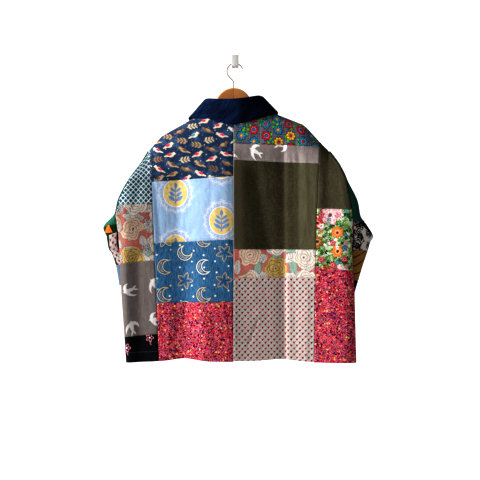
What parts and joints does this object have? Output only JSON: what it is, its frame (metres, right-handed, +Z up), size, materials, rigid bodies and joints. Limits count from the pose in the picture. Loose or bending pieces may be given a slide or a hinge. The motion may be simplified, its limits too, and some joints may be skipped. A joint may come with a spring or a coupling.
{
  "type": "patchwork jacket on a hanger and wall hook",
  "caption": "Loose patchwork jacket with a folded denim collar, shown from the back on a wooden hanger that hangs from a small metal wall hook",
  "frame": {"origin": "middle of the wall hook's back face, where it is fixed to the wall", "axes": "+Z up, +Y into the wall, +X to the right of a viewer who faces the wall and the jacket's back"},
  "size_m": [0.7639, 0.0908, 0.8681],
  "materials": {
    "check_cotton": "matte woven check",
    "rose_cotton": "matte printed cotton",
    "grey_cotton": "matte printed cotton",
    "black_cotton": "matte printed cotton",
    "navy_cotton": "matte printed cotton",
    "pale_blue_cotton": "matte printed cotton",
    "blue_denim": "washed denim, printed",
    "red_cotton": "matte printed cotton",
    "flower_cotton": "matte printed chambray",
    "olive_twill": "matte twill",
    "heart_cotton": "matte printed cotton",
    "garden_cotton": "matte printed cotton",
    "bottle_cotton": "matte printed cotton",
    "teal_cotton": "matte printed cotton",
    "toile_cotton": "matte printed cotton",
    "brown_cotton": "matte printed cotton",
    "collar_denim": "dark denim",
    "hanger_wood": "varnished",
    "hook_steel": "polished"
  },
  "bodies": {
    "root": {"back_check": "check_cotton", "back_rose_side": "rose_cotton", "back_grey_side": "grey_cotton", "back_black_side": "black_cotton", "back_navy_print": "navy_cotton", "back_medallion": "pale_blue_cotton", "back_star_denim": "blue_denim", "back_red_left": "red_cotton", "back_flower_yoke": "flower_cotton", "back_grey_yoke": "grey_cotton", "back_olive": "olive_twill", "back_rose": "rose_cotton", "back_hearts": "heart_cotton", "back_olive_side": "olive_twill", "back_garden_side": "garden_cotton", "back_red_side": "red_cotton", "front_bottle_side": "bottle_cotton", "front_hearts_side": "heart_cotton", "front_grey_side": "grey_cotton", "front_rose": "rose_cotton", "front_denim": "blue_denim", "front_red": "red_cotton", "front_red_yoke": "red_cotton", "front_pale_blue": "pale_blue_cotton", "front_black": "black_cotton", "front_red_side": "red_cotton", "front_olive_side": "olive_twill", "front_check_side": "check_cotton", "sleeve_left_leaf": "teal_cotton", "sleeve_left_teal": "teal_cotton", "sleeve_left_bottle": "bottle_cotton", "sleeve_left_hearts": "heart_cotton", "sleeve_left_blue": "pale_blue_cotton", "sleeve_left_grey": "grey_cotton", "sleeve_right_bottle": "bottle_cotton", "sleeve_right_toile": "toile_cotton", "sleeve_right_brown": "brown_cotton", "sleeve_right_black": "black_cotton", "collar": "collar_denim", "hanger_wood": "hanger_wood", "hanger_hook": "hook_steel", "wall_hook": "hook_steel"}
  },
  "joints": []
}
